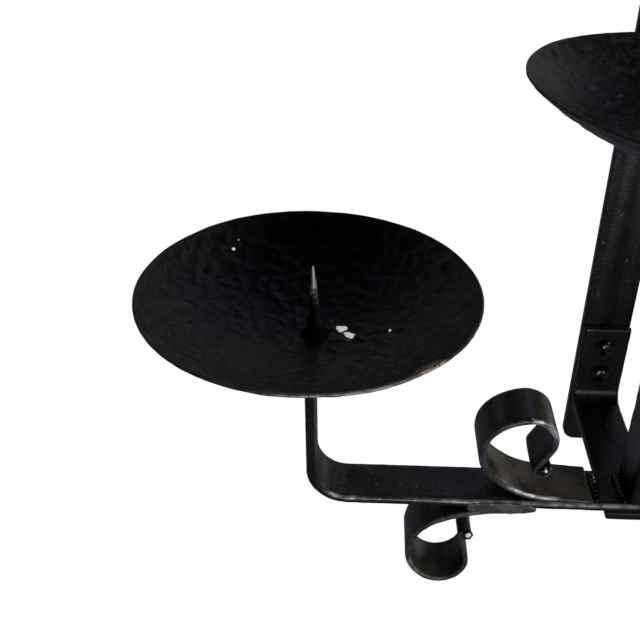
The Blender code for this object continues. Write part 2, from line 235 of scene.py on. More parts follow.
def bar_finish():
    """Brushed black paint on flat bar: speckled and lined, brown where worn, light steel where rubbed,
    partly real wear and partly a painted highlight.
    """
    s = Shader("bar_paint")
    cloud = s.noise(90, 4)
    speckle = s.noise(1100, 3, 0.7)
    lines = s.streaks(40, 1100)
    crossing = s.streaks(1300, 60)
    woven = s.math("ADD", lines, s.times(crossing, 0.8))
    worn = s.times(s.attribute("tone"), s.mask(cloud, 0.25, 0.62))
    colour = s.blend(s.mask(cloud, 0.35, 0.70), BLACK, SOOT)
    colour = s.blend(s.times(worn, 0.9), colour, WORN_BROWN)
    dusty = s.times(s.mask(speckle, 0.50, 0.66), s.attribute("dust"))
    dusty = s.times(dusty, s.level(s.mask(s.noise(70, 3), 0.35, 0.65), 0.25, 0.85))
    colour = s.blend(dusty, colour, DUST)
    specks = s.times(s.mask(s.noise(640, 2, 0.5), 0.66, 0.70), s.attribute("dust"))
    colour = s.blend(s.times(specks, 0.7), colour, PALE_DUST)
    lined = s.times(s.mask(woven, 0.85, 1.10), s.level(s.attribute("dust"), 0.10, 0.40))
    colour = s.blend(lined, colour, DUST)
    chips = s.times(s.attribute("edge"), s.mask(s.noise(420, 3, 0.7), 0.655, 0.70))
    colour = s.blend(s.times(chips, 0.7), colour, CHIPPED_STEEL)
    patchy = s.level(s.mask(s.noise(260, 3), 0.38, 0.60), 0.30, 1.0)
    # Painted highlight and wear: light rubbed steel on the front edges, where they catch the light.
    rubbed = s.times(s.attribute("rub_and_highlight"), patchy)
    colour = s.blend(rubbed, colour, RUBBED_HIGHLIGHT_STEEL)
    metal = s.math("ADD", s.times(chips, 0.8), s.times(rubbed, 0.5))
    gloss = s.level(s.noise(160, 3), 0.26, 0.42)
    gloss = s.math("ADD", gloss, s.times(worn, 0.22))
    gloss = s.math("SUBTRACT", gloss, s.times(s.attribute("edge"), 0.06))
    normal = s.bump(s.noise(260, 3), 0.00025, 0.4)
    normal = s.bump(woven, 0.00009, 0.7, normal)
    normal = s.bump(speckle, 0.00010, 0.5, normal)
    s.set(Base_Color=colour, Roughness=gloss, Normal=normal, Metallic=metal)
    s.surface.inputs["Specular IOR Level"].default_value = PAINT_SPECULAR
    return s.material


def pan_finish():
    """Thin black paint on hammered sheet, rubbed to brown and bare metal along the rim; the bare front
    patch of light steel is also a painted highlight.
    """
    s = Shader("pan_paint")
    cloud = s.noise(55, 4)
    speckle = s.noise(1300, 3, 0.7)
    colour = s.blend(s.mask(cloud, 0.35, 0.70), BLACK, SOOT)
    worn = s.times(s.attribute("worn"), s.mask(s.noise(240, 5, 0.65), 0.28, 0.62))
    colour = s.blend(worn, colour, RUBBED_BROWN)
    tan = s.times(s.attribute("tan"), s.mask(s.noise(500, 4), 0.32, 0.50))
    colour = s.blend(tan, colour, TAN)
    rusty = s.times(s.attribute("rust"), s.mask(s.noise(420, 4), 0.35, 0.62))
    colour = s.blend(rusty, colour, RUST)
    # Dust and painted light: lighter specks towards the front and the left of the hollow, where light
    # falls, none at the dark back.
    dusty = s.times(s.mask(speckle, 0.55, 0.72), s.attribute("dust"))
    colour = s.blend(s.times(dusty, 0.45), colour, DUST)
    patchy = s.level(s.mask(s.noise(420, 4), 0.40, 0.56), 0.30, 1.0)
    # Painted highlight and wear: the rim's bare front patch is light steel.
    bare = s.times(s.attribute("bare"), patchy)
    colour = s.blend(bare, colour, RIM_HIGHLIGHT_STEEL)
    rough = s.level(s.noise(120, 3), 0.25, 0.42)
    rough = s.math("ADD", rough, s.times(bare, 0.14))
    craggy = s.noise(260, 5, 0.68)
    dents = s.cells(270, s.noise(120, 2), 0.009)
    normal = s.bump(craggy, 0.0010, s.level(s.attribute("bare"), 0.75, 0.15))
    normal = s.bump(dents, 0.0005, s.level(s.attribute("bare"), 0.60, 0.05), normal)
    normal = s.bump(speckle, 0.00024, s.level(s.attribute("bare"), 0.80, 0.10), normal)
    s.set(Base_Color=colour, Roughness=rough, Normal=normal, Metallic=s.times(bare, 0.6))
    s.surface.inputs["Specular IOR Level"].default_value = PAINT_SPECULAR
    return s.material


def weld_finish():
    """Paint run thick and glossy over weld metal, rubbed through to bright steel in places: the bright
    side of a drop is a painted highlight.
    """
    s = Shader("weld_paint")
    colour = s.blend(s.mask(s.noise(260, 3), 0.4, 0.7), BLACK, SOOT)
    # Painted highlight: bright steel on the side of a drop marked to catch the light.
    colour = s.blend(s.attribute("rub_and_highlight"), colour, HIGHLIGHT_STEEL)
    rough = s.level(s.noise(400, 3), 0.14, 0.30)
    normal = s.bump(s.noise(900, 3), 0.00012, 0.5)
    s.set(Base_Color=colour, Roughness=rough, Normal=normal)
    return s.material


def scorched_finish():
    """Sooty weld metal round a spike, dull black with a little rust in patches."""
    s = Shader("scorched_weld")
    colour = s.blend(s.mask(s.noise(330, 4), 0.56, 0.72), SCORCH, SCORCHED_RUST)
    normal = s.bump(s.noise(420, 4, 0.65), 0.0006, 0.8)
    s.set(Base_Color=colour, Roughness=s.level(s.noise(200, 3), 0.62, 0.85), Normal=normal)
    s.surface.inputs["Specular IOR Level"].default_value = SCORCHED_SPECULAR
    return s.material


def spike_finish():
    """Bare grey steel at the point, through rust-brown to paint-black at the root."""
    s = Shader("spike_steel")
    height = s.attribute("height")
    uneven = s.math("SUBTRACT", s.noise(520, 4), 0.5)
    ragged = s.math("ADD", height, s.times(uneven, 0.9))
    bare = s.mask(ragged, 0.55, 0.80)
    brown = s.mask(ragged, 0.50, 0.60)
    colour = s.blend(brown, BLACK, SPIKE_RUST)
    blotches = s.mask(s.noise(750, 4, 0.65), 0.45, 0.58)
    blotches = s.times(blotches, s.mask(height, 0.92, 0.66))
    steel = s.blend(blotches, SPIKE_STEEL, SPIKE_BLOTCH)
    colour = s.blend(bare, colour, steel)
    streaks = s.noise(900, 4, 0.6, (1.0, 1.0, 0.2))
    rough = s.level(streaks, 0.30, 0.55)
    normal = s.bump(streaks, 0.00012, 0.6)
    metal = s.times(bare, 0.75)
    s.set(Base_Color=colour, Roughness=rough, Normal=normal, Metallic=metal)
    return s.material


def wax_finish():
    """White wax; the weak glow stands for light scattered inside it."""
    s = Shader("wax")
    colour = s.blend(s.noise(900, 3), WAX_SHADE, WAX_WHITE)
    s.set(Base_Color=colour, Roughness=0.55, Normal=s.bump(s.noise(1500, 3), 0.0001, 0.5))
    s.surface.inputs["Emission Color"].default_value = (1.0, 0.99, 0.97, 1.0)
    s.surface.inputs["Emission Strength"].default_value = WAX_GLOW
    return s.material


# ---------------------------------------------------------------- building meshes

def add_piece(name, mesh, finish, slot, *nodes):
    """A new piece in the frame, riding on the root body and standing for its CAD nodes, if any."""
    piece = bpy.data.objects.new(name, mesh)
    bpy.context.scene.collection.objects.link(piece)
    mesh.materials.append(finish)
    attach(piece, "root")
    if nodes:
        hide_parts(*nodes)


def grid_mesh(name, rings):
    """A tube of faces between rings of points, with its two ends filled."""
    rings = np.asarray(rings, float)
    count, around = rings.shape[0], rings.shape[1]
    faces = []
    for i in range(count - 1):
        for j in range(around):
            k = (j + 1) % around
            here, there = i * around, (i + 1) * around
            faces.append((here + j, here + k, there + k, there + j))
    faces.append(tuple(range(around - 1, -1, -1)))
    faces.append(tuple((count - 1) * around + j for j in range(around)))
    mesh = bpy.data.meshes.new(name)
    mesh.from_pydata(rings.reshape(-1, 3).tolist(), [], faces)
    shape = bmesh.new()
    shape.from_mesh(mesh)
    bmesh.ops.recalc_face_normals(shape, faces=shape.faces)
    shape.to_mesh(mesh)
    shape.free()
    mesh.shade_smooth()
    return mesh


def vertex_arrays(mesh):
    """The places and the normals of a mesh's vertices."""
    places = np.array([v.co for v in mesh.vertices])
    normals = np.array([v.normal for v in mesh.vertices])
    return places, normals


def move_vertices(mesh, places):
    mesh.vertices.foreach_set("co", places.ravel())
    mesh.update()


def put_attribute(mesh, name, values):
    layer = mesh.attributes.new(name, "FLOAT", "POINT")
    layer.data.foreach_set("value", np.asarray(values, np.float32))


def fractal(points, scale, seed=0.0, octaves=3):
    """Smooth noise from about -1 to 1 at each point; scale is the size of its bumps in metres."""
    shift = Vector((seed * 3.1, seed * 7.7, seed * 5.3))
    points = np.asarray(points, float)
    return np.array([noise.fractal(Vector(p) / scale + shift, 0.7, 2.1, octaves) for p in points])


def smooth(low, high, value):
    """0 at low, 1 at high and smooth between them; low above high turns it round."""
    t = np.clip((np.asarray(value, float) - low) / (high - low), 0, 1)
    return t * t * (3 - 2 * t)


# ---------------------------------------------------------------- strips of flat bar

STATION_STEP = 1.2 * MM
ARC_STEP = math.radians(6)
END_ROUND = 0.7 * MM
END_ANGLES = (90, 55, 25)
FACE_STEPS = 10
CORNER_ANGLES = (22.5, 45.0, 67.5)
BAR_CORNER = 1.5 * MM
SCROLL_CORNER = 1.3 * MM
# How far a face strays: size of the bumps, their depth, and what the edges add to that depth. The
# surface is drawn in by the shrink, so that no bump sticks out of the CAD model's box.
WAVE = (14 * MM, 0.10 * MM)
DENT = (3.5 * MM, 0.03 * MM, 0.07 * MM)
SHRINK = 0.12 * MM
FAINT_RUB_AND_HIGHLIGHT = 0.09


def trace(start, heading, steps):
    """Stations (x, z, heading, distance) along straights (length,) and arcs (radius, turn)."""
    x, z = start
    angle = math.radians(heading)
    distance = 0.0
    stations = [(x, z, angle, distance)]
    for step in steps:
        radius = step[0] if len(step) == 2 else 0.0
        turn = math.radians(step[1]) if len(step) == 2 else 0.0
        length = radius * abs(turn) if radius else step[0]
        count = max(1, round(length / STATION_STEP), round(abs(turn) / ARC_STEP))
        for i in range(1, count + 1):
            t = i / count
            if radius:
                side = math.copysign(radius, turn)
                bearing = angle + turn * t
                px = x - side * math.sin(angle) + side * math.sin(bearing)
                pz = z + side * math.cos(angle) - side * math.cos(bearing)
            else:
                bearing = angle
                px = x + length * t * math.cos(angle)
                pz = z + length * t * math.sin(angle)
            stations.append((px, pz, bearing, distance + length * t))
        x, z, angle, distance = stations[-1]
    return stations


def section(width, thickness, corner):
    """Round-cornered bar section: (across, through, edge weight, face), round from one corner."""
    flat = width - 2 * corner
    depth = max(thickness - 2 * corner, 0.0)
    points = []
    for face in (1, -1):
        for i in range(FACE_STEPS + 1):
            points.append((face * flat * (0.5 - i / FACE_STEPS), face * thickness / 2, 0.0, face))
        edge, near = -face * flat / 2, face * depth / 2
        radius = face * corner
        arc = [(edge - radius * math.sin(a), radius * math.cos(a)) for a in np.radians(CORNER_ANGLES)]
        points += [(across, near + through, 1.0, 0) for across, through in arc]
        side = -face * width / 2
        points += [(side, near, 0.7, 0), (side, 0.0, 0.2, 0), (side, -near, 0.7, 0)]
        points += [(across, -near - through, 1.0, 0) for across, through in reversed(arc)]
    return points


def stations_with_ends(stations):
    """The stations and how far the section is drawn in at each, to round off both ends."""
    length = stations[-1][3]
    trims = [END_ROUND * (1 - math.sin(math.radians(a))) for a in END_ANGLES]
    insets = [END_ROUND * (1 - math.cos(math.radians(a))) for a in END_ANGLES]
    heads = [(at_distance(stations, trim), inset) for trim, inset in zip(trims, insets)]
    tails = [(at_distance(stations, length - trim), inset) for trim, inset in zip(trims, insets)]
    inner = [(st, 0.0) for st in stations if END_ROUND < st[3] < length - END_ROUND]
    return heads + inner + tails[::-1]


def strip_piece(name, stations, left, right, plane, finish, seed, corner,
                tone=None, belly=None, rub_and_highlight=None):
    """Sweeps a bar section along stations; left(s) and right(s) are its faces off the line.

    tone is where the paint is worn brown, rub_and_highlight is where the front edges are rubbed
    bright, partly as real wear and partly as a painted highlight, and belly pushes the middle of
    the strip out.
    """
    rings = []
    weights = []
    for (x, z, angle, s), inset in stations_with_ends(stations):
        thickness = left(s) + right(s) - 2 * inset
        offset = (left(s) - right(s)) / 2
        ring = []
        rounding = min(corner, 0.45 * thickness)
        for across, through, edge, face in section(BAR_WIDTH - 2 * inset, thickness, rounding):
            w = offset + through
            slip = belly(s) * (1 - (across / (BAR_WIDTH / 2)) ** 2) if belly else 0.0
            ring.append(plane(x - w * math.sin(angle) + slip, z + w * math.cos(angle), across))
            weights.append((s, across, edge, face, through))
        rings.append(ring)
    mesh = grid_mesh(name, rings)
    co, normals = vertex_arrays(mesh)
    s, across, edge, face, through = np.array(weights).T
    wave = fractal(co, WAVE[0], seed, 2) * WAVE[1]
    dents = fractal(co, DENT[0], seed + 9, 2) * (DENT[1] + DENT[2] * edge)
    co = co + normals * (wave + dents - SHRINK)[:, None]
    move_vertices(mesh, co)
    nowhere = np.zeros(len(co))
    front = (across < 0) * edge
    put_attribute(mesh, "edge", edge)
    put_attribute(mesh, "along", s)
    put_attribute(mesh, "across", across)
    put_attribute(mesh, "tone", tone(s, face) if tone else nowhere)
    put_attribute(mesh, "dust", smooth(0.2, 0.9, normals[:, 2]))
    # Painted highlight and wear: how much light rubbed steel each front edge gets.
    put_attribute(mesh, "rub_and_highlight", np.clip(front * rub_and_highlight(s, through), 0, 1) if rub_and_highlight else nowhere)
    add_piece(name + "_surface", mesh, finish, "bar_paint", name)


def at_distance(stations, s):
    """The station at distance s along the line."""
    for a, b in zip(stations, stations[1:]):
        if b[3] >= s - 1e-9:
            t = (s - a[3]) / max(b[3] - a[3], 1e-9)
            return tuple(p + (q - p) * t for p, q in zip(a, b))
    return stations[-1]


def in_arm_plane(x, z, across):
    return (x, ARM_Y + across, z)


def in_side_plane(y, z, across):
    return (across, y, z)


def even(half):
    return lambda s: half


def build_bars(finish):
    half = BAR_THICKNESS / 2
    low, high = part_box("cross_arm")
    leg = high.z - low.z - half - BEND_RADIUS
    span = high.x - low.x - BAR_THICKNESS - 2 * BEND_RADIUS
    steps = ((leg,), (BEND_RADIUS, 90), (span,), (BEND_RADIUS, 90), (leg,))
    stations = trace((low.x + half, high.z), -90, steps)
    length = stations[-1][3]

    def arm_tone(s, face):
        return 0.25 * (face > 0)

    def arm_rub_and_highlight(s, through):
        """Rubbed bright on the upper front edge, partly real wear and partly a painted highlight: most at
        the bends, and more towards the middle.
        """
        past_leg = (np.minimum(s, length - s) - leg) / MM
        start = FAINT_RUB_AND_HIGHLIGHT * smooth(0, 20, past_leg)
        bend = 0.50 * smooth(13, 19, past_leg) * smooth(34, 26, past_leg)
        inward = 0.09 * smooth(36, 52, past_leg) + 0.28 * smooth(60, 68, past_leg)
        return (through > 0) * (start + bend + inward)

    strip_piece("cross_arm", stations, even(half), even(half), in_arm_plane, finish, 1,
                BAR_CORNER, tone=arm_tone, rub_and_highlight=arm_rub_and_highlight)

    low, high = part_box("centre_post")
    stations = trace((0.0, low.z), 90, ((high.z - low.z,),))
    strip_piece("centre_post", stations, even(half), even(half), in_arm_plane, finish, 2, BAR_CORNER)

    low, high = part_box("wall_bracket")
    run = high.y - low.y - half - BRACKET_BEND_RADIUS
    rise = high.z - low.z - half - BRACKET_BEND_RADIUS
    steps = ((run,), (BRACKET_BEND_RADIUS, 90), (rise,))
    stations = trace((low.y, low.z + half), 0, steps)
    strip_piece("wall_bracket", stations, even(half), even(half), in_side_plane, finish, 3, BAR_CORNER)


def build_scroll(side, level, finish, plug_finish, seed):
    scroll, upright = (UPPER_SCROLL, 1) if level == "upper" else (LOWER_SCROLL, -1)
    name = f"{side}_{level}_scroll"
    low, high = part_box(name)
    toe, sign = (high.x, -1) if side == "left" else (low.x, 1)
    face = low.z if upright > 0 else high.z
    start = (0.0, SCROLL_THICKNESS / 2)
    roll_radius, roll_turn = scroll["roll"]
    steps = [(scroll["foot"],)]
    steps += [(radius * MM, -turn) for radius, turn in scroll["arcs"]]
    steps += [(scroll["neck"],), (roll_radius * MM, roll_turn)]
    stations = trace(start, 180, steps)
    length = stations[-1][3]
    crown_start = length * scroll["crown"]

    def half(s):
        return (SCROLL_THICKNESS + (scroll["tip"] - SCROLL_THICKNESS) * s / length) / 2

    def scarfed(s):
        return half(s) - SCARF * max(0.0, 1 - s / scroll["foot"])

    def plane(x, z, across):
        return (toe - sign * x, ARM_Y + across, face + upright * z)

    def tone(s, face_sign):
        inner = (face_sign < 0) * smooth(length, length * 0.35, s)
        return 0.15 + 0.8 * inner

    def belly(s):
        """The rolled tip was closed a little fuller in the middle than at its ends."""
        return scroll["belly"] * smooth(length - 14 * MM, length - 7 * MM, s)

    def rub_and_highlight(s, through):
        """Edges rubbed bright on the foot and round the top of the scroll, faintly elsewhere; partly real
        wear and partly a painted highlight.
        """
        s = s / MM
        crown, end = crown_start / MM, length / MM
        on_foot = smooth(10, 20, s) * smooth(42, 33, s) * np.where(through < 0, 1.0, 0.15)
        on_crown = smooth(crown, crown + 1.5, s) * smooth(crown + 20, crown + 11, s)
        on_roll = 0.8 * smooth(end - 9, end - 6, s) * smooth(end - 2, end - 4, s) * (through > 0)
        bright = scroll["rub_and_highlight"] * np.maximum(on_foot, on_crown)
        return np.maximum(np.maximum(bright, on_roll), FAINT_RUB_AND_HIGHLIGHT)

    strip_piece(name, stations, half, scarfed, plane, finish, seed,
                SCROLL_CORNER, tone=tone, belly=belly, rub_and_highlight=rub_and_highlight)

    x, z, angle, _ = trace(start, 180, steps[:-1])[-1]
    roll_x = x - roll_radius * MM * math.sin(angle)
    roll_z = z + roll_radius * MM * math.cos(angle)
    # The plug's last values aim its painted highlight: the way it faces and where it begins.
    size, (inward, lift), (highlight_x, highlight_y, highlight_z), highlight_from = scroll["plug"]
    centre = Vector(plane(roll_x, roll_z, PLUG_DEPTH - BAR_WIDTH / 2))
    centre += Vector((-sign * inward, 0.0, lift))
    highlight_way = Vector((-sign * highlight_x, highlight_y, highlight_z))
    build_drop(f"{name}_plug", centre, size, highlight_way, highlight_from, plug_finish, seed)
    if name == "left_upper_scroll":
        x, z = next((x, z) for x, z, _, s in stations if s >= crown_start)
        burr = Vector(plane(x, z + half(crown_start), BURR_DEPTH - BAR_WIDTH / 2))
        # The burr gets a small painted highlight of bright steel on its top.
        build_drop(f"{name}_burr", burr, BURR_SIZE, Vector((0.3, -0.5, 0.8)), 0.97, plug_finish, seed)


def build_drop(name, centre, radius, highlight_way, highlight_from, finish, seed):
    """A drop of weld or thick paint: a lumpy flattened ball, bright steel on one side as a painted
    highlight.
    """
    shape = bmesh.new()
    bmesh.ops.create_icosphere(shape, subdivisions=4, radius=1.0)
    mesh = bpy.data.meshes.new(name)
    shape.to_mesh(mesh)
    shape.free()
    way = highlight_way.normalized()
    toward = np.array([vertex.co.dot(way) for vertex in mesh.vertices])
    # Painted highlight: the side of the drop facing the given way turns to bright steel.
    put_attribute(mesh, "rub_and_highlight", smooth(highlight_from, min(0.99, highlight_from + 0.06), toward))
    for vertex in mesh.vertices:
        lump = 1 + 0.16 * noise.fractal(vertex.co * 1.3 + Vector((seed, 0, 0)), 0.8, 2.0, 2)
        flattened = Vector((vertex.co.x, vertex.co.y * 0.72, vertex.co.z))
        vertex.co = centre + flattened * radius * lump
    mesh.shade_smooth()
    add_piece(name, mesh, finish, "weld_paint")


# ---------------------------------------------------------------- pans

PAN_TURNS = 360
PAN_RINGS = 88
PAN_LIP = PAN_RADIUS - 0.95 * MM
PAN_SPHERE = (PAN_LIP ** 2 + PAN_DEPTH ** 2) / (2 * PAN_DEPTH)
PAN_MIDDLE = 0.012
LIP_ANGLES = (30, 60, 90, 120, 150)

# Hammer blows: distance apart, radius of the hammer's face, length over width, spread in depth, and
# how softly neighbouring dents meet.
BLOW_PITCH = 4.2 * MM
BLOW_BALL = (4.2 * MM, 10 * MM)
BLOW_STRETCH = (1.15, 1.9)
BLOW_DEPTH = 0.12 * MM
BLOW_BLEND = 0.02 * MM
BATCH = 4000

# Middle of each kind of wear along the rim, in degrees from the right, with the wall at 90. The
# bare patch is also a painted highlight, and the dusty stretch also painted light.
WORN_AT = -112
BARE_HIGHLIGHT_AT = -76
TAN_AT = -47
DUST_AND_LIGHT_AT = 165


def hammer_relief(points, seed):
    """Depth of overlapping long hammer dents at flat points (x, y), in metres, about zero."""
    rng = np.random.default_rng(seed)
    rows = int(2 * PAN_RADIUS / BLOW_PITCH) + 3
    grid = np.array([(i, j) for i in range(rows) for j in range(rows)], float) - rows / 2
    blows = (grid + rng.uniform(-0.5, 0.5, grid.shape)) * BLOW_PITCH
    blows = blows[np.hypot(*blows.T) < PAN_RADIUS + BLOW_PITCH]
    count = len(blows)
    turn = np.arctan2(blows[:, 1], blows[:, 0]) + rng.normal(0, 0.6, count) + math.pi / 2
    stretch = rng.uniform(*BLOW_STRETCH, count)
    depth = rng.normal(0, BLOW_DEPTH, count)
    ball = rng.uniform(*BLOW_BALL, count)
    relief = np.zeros(len(points))
    for start in range(0, len(points), BATCH):
        part = points[start:start + BATCH]
        delta = part[:, None, :] - blows[None, :, :]
        along = delta[..., 0] * np.cos(turn) + delta[..., 1] * np.sin(turn)
        over = -delta[..., 0] * np.sin(turn) + delta[..., 1] * np.cos(turn)
        bowl = ((along / stretch) ** 2 + over ** 2) / (2 * ball) + depth
        lowest = bowl.min(axis=1, keepdims=True)
        rounding = BLOW_BLEND * np.log(np.exp((lowest - bowl) / BLOW_BLEND).sum(axis=1))
        relief[start:start + BATCH] = lowest[:, 0] - rounding
    return relief - relief.mean()


def pan_rings(seed):
    """Rings of points from the middle of the hollow, over the lip, to the middle below."""
    turns = np.linspace(0, 2 * math.pi, PAN_TURNS, endpoint=False)
    radii = PAN_LIP * (PAN_MIDDLE + (1 - PAN_MIDDLE) * np.linspace(0.0, 1.0, PAN_RINGS))
    r, t = (values.ravel() for values in np.meshgrid(radii, turns, indexing="ij"))
    cos, sin = np.cos(t), np.sin(t)
    flat = np.stack([r * cos, r * sin], axis=-1)
    level = np.zeros(len(flat))
    fade = smooth(0.0, 4 * MM, PAN_LIP - r)
    relief = hammer_relief(flat, seed) * (0.30 + 0.70 * fade)
    bulge = fractal(np.c_[flat, level], 30 * MM, seed, 2) * (0.08 + 0.27 * fade) * MM
    rim_wave = fractal(np.c_[cos, sin, level] * 0.05, 22 * MM, seed + 3, 2)
    slope = np.arcsin(r / PAN_SPHERE)
    normal = np.stack([-np.sin(slope) * cos, -np.sin(slope) * sin, np.cos(slope)], axis=-1)
    top = np.c_[flat, PAN_SPHERE * (1 - np.cos(slope))] + normal * (relief + bulge)[:, None]
    top[:, 2] += 0.25 * MM * rim_wave * smooth(0.6, 1.0, r / PAN_LIP)
    sheet = PAN_SHEET * (1 - 0.18 * smooth(0.9, 1.0, r / PAN_LIP))
    bottom = top - normal * (sheet + relief * 0.2)[:, None]

    top = top.reshape(PAN_RINGS, PAN_TURNS, 3)
    bottom = bottom.reshape(PAN_RINGS, PAN_TURNS, 3)
    between = (top[-1] + bottom[-1]) / 2
    up = (top[-1] - bottom[-1]) / 2
    half = np.linalg.norm(up, axis=1)[:, None]
    outward = np.stack([np.cos(turns), np.sin(turns), np.full(PAN_TURNS, 0.55)], axis=-1)
    outward /= np.linalg.norm(outward, axis=1)[:, None]
    lips = [
        between + up * math.cos(a) + outward * half * 0.75 * math.sin(a)
        for a in np.radians(LIP_ANGLES)
    ]
    return list(top) + lips + list(bottom[::-1])


def put_pan_wear(mesh, side, seed):
    """Where the pan is worn brown, tan, rusty, dusty and rubbed bare; the bare patch is also a painted
    highlight, and the dust, heavier to the front and left and none at the back, is also painted light.
    """
    co, _ = vertex_arrays(mesh)
    reach = np.hypot(co[:, 0], co[:, 1]) / PAN_LIP
    bearing = np.degrees(np.arctan2(co[:, 1], co[:, 0]))
    ring = np.arange(len(co)) // PAN_TURNS
    inside = (ring < PAN_RINGS + 3).astype(float)
    with_lip = (ring < PAN_RINGS + 4).astype(float)
    blotch = fractal(co, 9 * MM, seed + 5)

    def along_rim(middle_at, far, near):
        return smooth(far, near, np.abs(bearing - middle_at))

    worn = along_rim(WORN_AT, 52, 15) * smooth(0.80, 0.95, reach + 0.03 * blotch) * inside
    put_attribute(mesh, "worn", np.clip(worn + 0.3 * smooth(0.975, 1.0, reach), 0, 1))
    tan = along_rim(TAN_AT, 7, 3.5) * smooth(0.925, 0.965, reach + 0.02 * blotch)
    put_attribute(mesh, "tan", tan * with_lip)
    # Painted highlight and wear: the bare patch sits where the front rim catches the light.
    bare = along_rim(BARE_HIGHLIGHT_AT, 27, 12) * smooth(0.962, 0.982, reach + 0.006 * blotch)
    put_attribute(mesh, "bare", bare * with_lip)
    near_spike = np.hypot(co[:, 0] + PAN_OFFSET[side] - 4.5 * MM, co[:, 1] - 4 * MM)
    put_attribute(mesh, "rust", smooth(5.5 * MM, 1.5 * MM, near_spike) * inside * 0.7)
    # Dust and painted light: more towards the front and on the left, where light falls, none on the dark
    # back.
    dust = smooth(0.75, -0.9, co[:, 1] / PAN_LIP)
    dust += 0.6 * along_rim(DUST_AND_LIGHT_AT, 60, 15) * smooth(0.55, 0.95, reach)
    put_attribute(mesh, "dust", inside * np.clip(dust, 0, 1))


def build_pan(side, finish, seed):
    """Builds a pan; returns the bottom of its hollow at the spike, and the place of its middle."""
    axis = middle(f"{side}_spike")
    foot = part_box(f"{side}_spike")[0].z
    hollow = Vector((axis.x, axis.y, foot + PAN_SHEET + PAN_FOOT_GAP))
    place = Matrix.Translation(hollow) @ Matrix.Rotation(math.radians(PAN_LEAN[side]), 4, "Y")
    place = place @ Matrix.Translation((PAN_OFFSET[side], 0, 0))
    mesh = grid_mesh(f"{side}_pan", pan_rings(seed))
    put_pan_wear(mesh, side, seed)
    mesh.transform(place)
    mesh.update()
    add_piece(f"{side}_pan_surface", mesh, finish, "pan_paint", f"{side}_pan")
    return hollow, place


# ---------------------------------------------------------------- spikes, welds, rivets

SPIKE_STEPS = 60
SPIKE_SIDES = 20
SPIKE_BLUNT_FROM = 0.965
SPIKE_TWIST = 0.5
# Spikes and their mounds are this much thinner from front to back.
FLATTENED = 0.85

# The mound of weld round a spike: (radius, height) in mm from the hollow's bottom.
MOUND = (
    (1.9, 5.6), (2.65, 4.8), (2.95, 3.4), (3.2, 2.2), (3.6, 1.4),
    (4.3, 0.85), (5.2, 0.5), (6.0, 0.25), (6.4, -0.3), (1.0, -0.4),
)
MOUND_SIDES = 64

BEAD_STEP = 0.45 * MM
BEAD_SIDES = 24
BEAD_RIPPLE = 2.3 * MM
BEAD_BELOW = 0.25
BEAD_SUNK = 0.3 * MM


def circle(count):
    return [2 * math.pi * j / count for j in range(count)]


def build_spike(side, hollow, finish, seed):
    """A hand-forged spike: a slim ragged point on a stouter, slightly crooked shank."""
    low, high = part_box(f"{side}_spike")
    rings = []
    heights = []
    for i in range(SPIKE_STEPS + 1):
        t = i / SPIKE_STEPS
        z = low.z + (high.z - low.z) * t
        up = max(0.0, (z - hollow.z) / (high.z - hollow.z))
        radius = (0.30 + 2.65 * (1 - up) ** 0.95) * MM
        if t > SPIKE_BLUNT_FROM:
            blunt = (t - SPIKE_BLUNT_FROM) / (1 - SPIKE_BLUNT_FROM)
            radius *= math.sqrt(max(0.02, 1 - blunt ** 2))
        bend = (0.15 * math.sin(math.pi * up) - 0.2 * up) * MM
        ring = []
        for angle in circle(SPIKE_SIDES):
            cos, sin = math.cos(angle), math.sin(angle)
            square = 1 / max(abs(cos), abs(sin))
            pitted = noise.fractal(Vector((cos * 1.3, sin * 1.3, z * 480 + seed)), 0.8, 2.0, 3)
            reach = radius * (1 + 0.30 * (square - 1)) * (1 + 0.14 * pitted)
            x = hollow.x + bend + reach * math.cos(angle + SPIKE_TWIST)
            y = hollow.y + FLATTENED * reach * math.sin(angle + SPIKE_TWIST)
            ring.append((x, y, z))
        rings.append(ring)
        heights += [up] * SPIKE_SIDES
    mesh = grid_mesh(f"{side}_spike", rings)
    put_attribute(mesh, "height", heights)
    add_piece(f"{side}_spike_surface", mesh, finish, "spike_steel", f"{side}_spike")


def build_spike_weld(side, hollow, finish, seed):
    """A rough black mound of weld round the root of the spike, running out over the pan."""
    rings = []
    for radius, height in MOUND:
        spread = 0.10 + 0.05 * min(radius, 5.0)
        ring = []
        for angle in circle(MOUND_SIDES):
            around = Vector((math.cos(angle), math.sin(angle), height * 0.35))
            ragged = noise.fractal(around * 1.7 + Vector((seed, 0, 0)), 0.8, 2.0, 3)
            uneven = noise.noise(around * 2.6 + Vector((0, seed, 0)))
            reach = radius * (1 + spread * ragged)
            x = 0.10 * radius + reach * math.cos(angle)
            y = FLATTENED * reach * math.sin(angle)
            z = height * (1 + 0.35 * uneven)
            ring.append((hollow.x + x * MM, hollow.y + y * MM, hollow.z + z * MM))
        rings.append(ring)
    mesh = grid_mesh(f"{side}_spike_weld", rings)
    add_piece(f"{side}_spike_weld_surface", mesh, finish, "weld_paint", f"{side}_spike_weld")


def squared(value, square):
    """A cosine or sine raised to a power with its sign kept; below 1 a circle turns squarish."""
    return math.copysign(abs(value) ** square, value)


